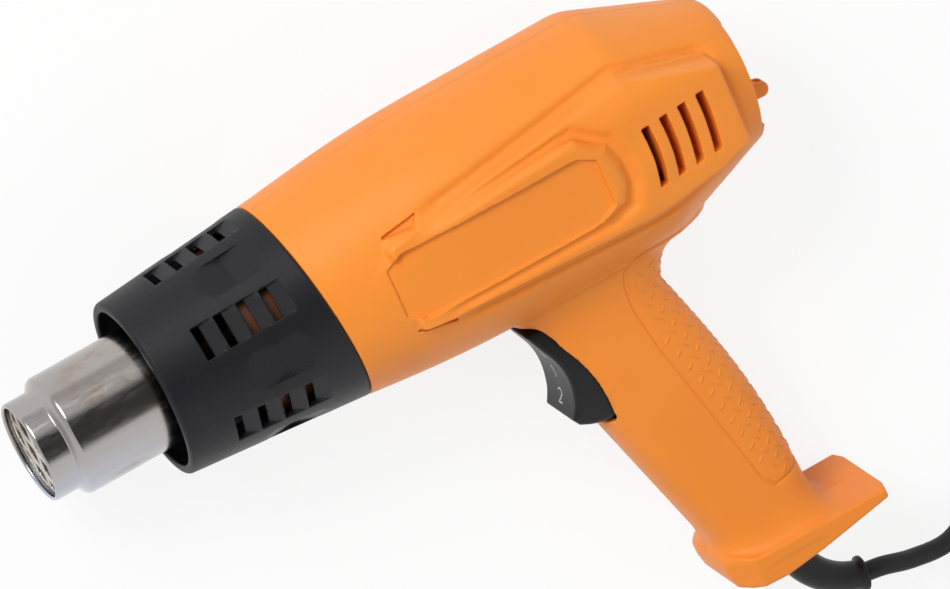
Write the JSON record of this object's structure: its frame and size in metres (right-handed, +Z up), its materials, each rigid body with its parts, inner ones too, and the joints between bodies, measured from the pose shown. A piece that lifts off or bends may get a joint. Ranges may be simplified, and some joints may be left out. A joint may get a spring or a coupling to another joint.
{
  "type": "hot air tool",
  "caption": "Pistol-grip hot air tool with a moulded body, slotted black heat guard, steel outlet tube, rocker switch, side vents, bare badge frames and a mains lead with plug.",
  "frame": {"origin": "centre of the tool's footprint on the bench, without the free lead", "axes": "+X back along the barrel from the outlet, +Y across the bench towards the barrel's top side, +Z up"},
  "size_m": [0.3813, 0.3273, 0.0883],
  "materials": {
    "orange_plastic": "fine moulded texture",
    "black_plastic": "satin moulded",
    "inner_plastic": "plain moulded",
    "outlet_steel": "drawn and polished",
    "zinc_steel": "zinc plated",
    "mica": "pressed mica board",
    "ceramic_white": "unglazed",
    "heater_wire": "oxidised resistance wire",
    "board_green": "laminate",
    "capacitor_yellow": "cast",
    "wire_brown": "insulation",
    "wire_blue": "insulation",
    "black_rubber": "moulded",
    "cord_black": "extruded sheath",
    "tie_black": "plain band",
    "pin_brass": "nickel-brass"
  },
  "bodies": {
    "housing": {"left_shell": "orange_plastic", "right_shell": "orange_plastic", "rear_cap": "orange_plastic", "heat_guard": "black_plastic", "nozzle_tube": "outlet_steel", "nozzle_grille": "outlet_steel", "mica_sleeve": "mica", "heater_former": "mica", "heating_coil": "heater_wire", "heater_base": "ceramic_white", "thermal_cutout": "zinc_steel", "motor_bracket": "inner_plastic", "motor_can": "zinc_steel", "motor_endcap": "inner_plastic", "rectifier_board": "board_green", "switch_body": "inner_plastic", "capacitor": "capacitor_yellow", "cable_clamp": "inner_plastic", "strain_relief": "black_rubber", "cord_tail": "cord_black", "cord_lead": "cord_black", "cord_coil": "cord_black", "cord_tie": "tie_black", "plug_body": "black_rubber", "plug_pin_1": "pin_brass", "plug_pin_2": "pin_brass", "clamp_screw_1": "zinc_steel", "clamp_screw_2": "zinc_steel", "shell_screw_1": "zinc_steel", "shell_screw_2": "zinc_steel", "shell_screw_3": "zinc_steel", "shell_screw_4": "zinc_steel", "shell_screw_5": "zinc_steel", "shell_screw_6": "zinc_steel", "wire_supply_1": "wire_brown", "wire_supply_2": "wire_blue", "wire_heater_1": "wire_brown", "wire_heater_2": "wire_blue", "wire_motor_1": "wire_brown", "wire_motor_2": "wire_blue"},
    "rocker": {"switch_rocker": "black_plastic"},
    "fan": {"motor_shaft": "zinc_steel", "fan_impeller": "inner_plastic"}
  },
  "joints": [
    {"name": "rocker_hinge", "type": "hinge", "parent": "housing", "child": "rocker", "pos_m": [0.04427, 0.00954, 0.03475], "axis": [0, -0.1423, 0.9898], "range_deg": [0, 13]},
    {"name": "fan_spin", "type": "hinge", "parent": "housing", "child": "fan", "pos_m": [0.06427, 0.07289, 0.04386], "axis": [1, 0, 0], "continuous": true}
  ]
}
